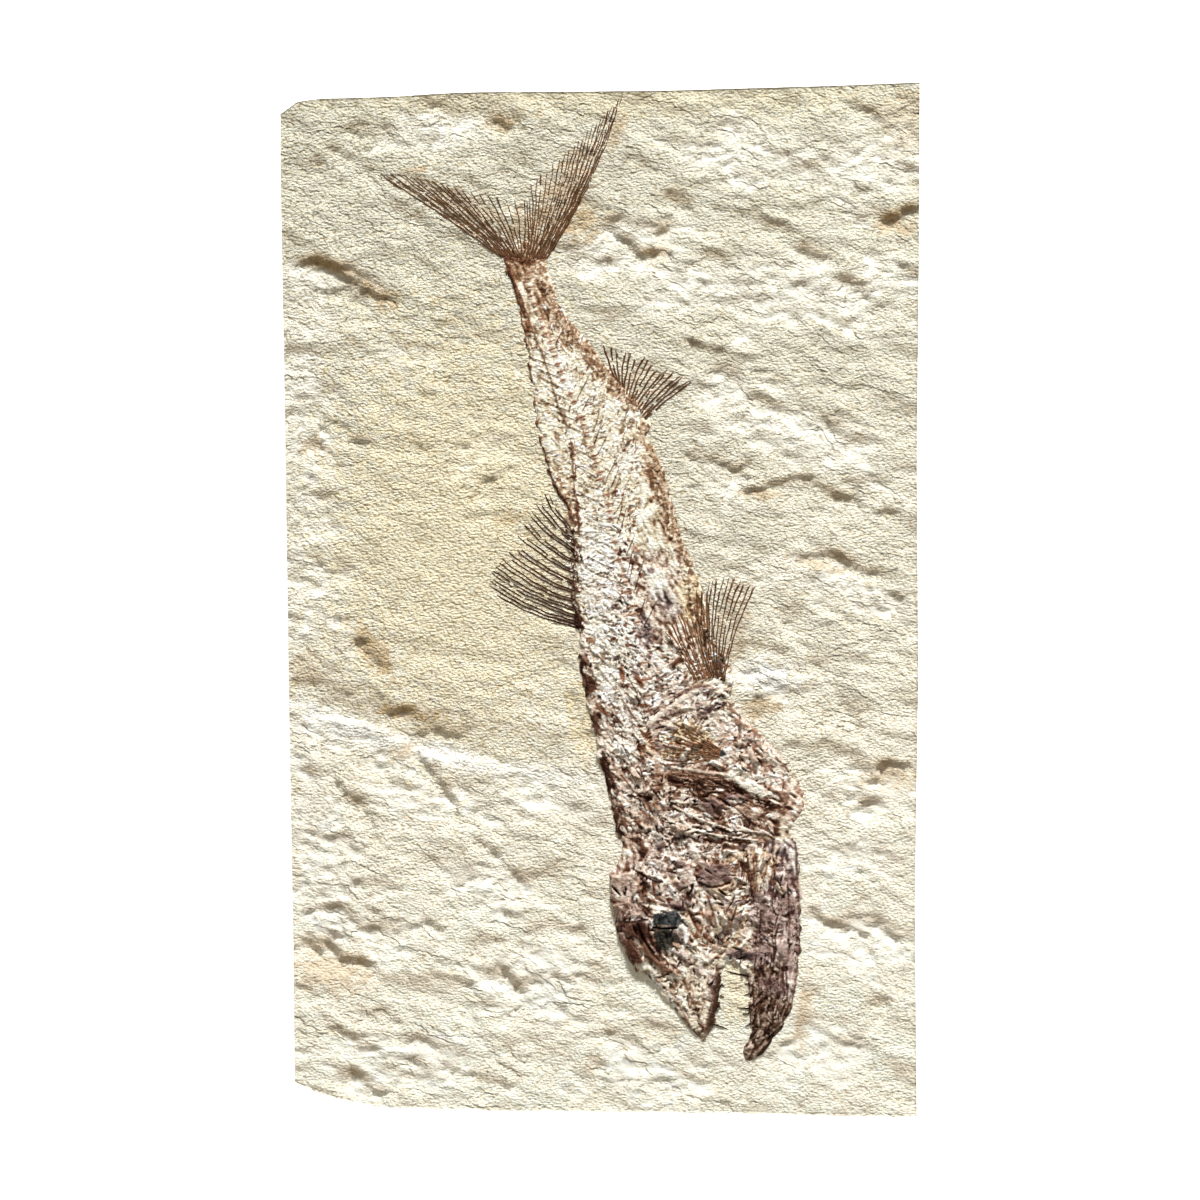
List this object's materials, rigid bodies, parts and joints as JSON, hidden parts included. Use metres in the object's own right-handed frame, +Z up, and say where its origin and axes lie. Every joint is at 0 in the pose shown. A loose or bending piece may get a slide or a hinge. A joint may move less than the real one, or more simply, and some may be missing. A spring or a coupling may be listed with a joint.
{
  "type": "fossil fish slab",
  "caption": "Flat limestone plate with a long-jawed fossil fish skeleton on its face, its fins spread; lies on its flat back.",
  "frame": {"origin": "middle of the plate's flat underside", "axes": "+Z up out of the fossil face, +Y along the plate towards the fish's tail, the fish's back on the -X side"},
  "size_m": [0.1304, 0.2109, 0.0165],
  "materials": {
    "limestone": "split and chipped limestone, pebbly grain",
    "skin_film": "mineral film with scale grain",
    "vertebra_bone": "mineralised bone, satin",
    "dark_bone": "dark mineralised bone, satin",
    "skull_bone": "crushed mineralised bone, satin",
    "eye_film": "dark slate-blue mineral film",
    "jaw_bone": "purple-brown bone, satin",
    "fin_ray": "dark brown mineralised fin rays"
  },
  "bodies": {
    "root": {"matrix_slab": "limestone", "body_skin": "skin_film", "spine_column": "vertebra_bone", "shoulder_girdle": "dark_bone", "hypural_plate": "vertebra_bone", "skull_roof": "skull_bone", "gill_cover": "skull_bone", "cheek_bones": "skull_bone", "coracoid_plate": "vertebra_bone", "eye_upper": "eye_film", "eye_lower": "eye_film", "upper_jaw": "jaw_bone", "lower_jaw": "jaw_bone", "caudal_fin_upper_lobe": "fin_ray", "caudal_fin_lower_lobe": "fin_ray", "dorsal_fin": "fin_ray", "anal_fin": "fin_ray", "pelvic_fin_near": "fin_ray", "pelvic_fin_far": "fin_ray", "pectoral_fin": "fin_ray", "back_scute_1": "dark_bone", "back_scute_2": "dark_bone", "back_scute_3": "dark_bone", "back_scute_4": "dark_bone", "back_scute_5": "dark_bone", "back_scute_6": "dark_bone", "back_scute_7": "dark_bone"}
  },
  "joints": []
}
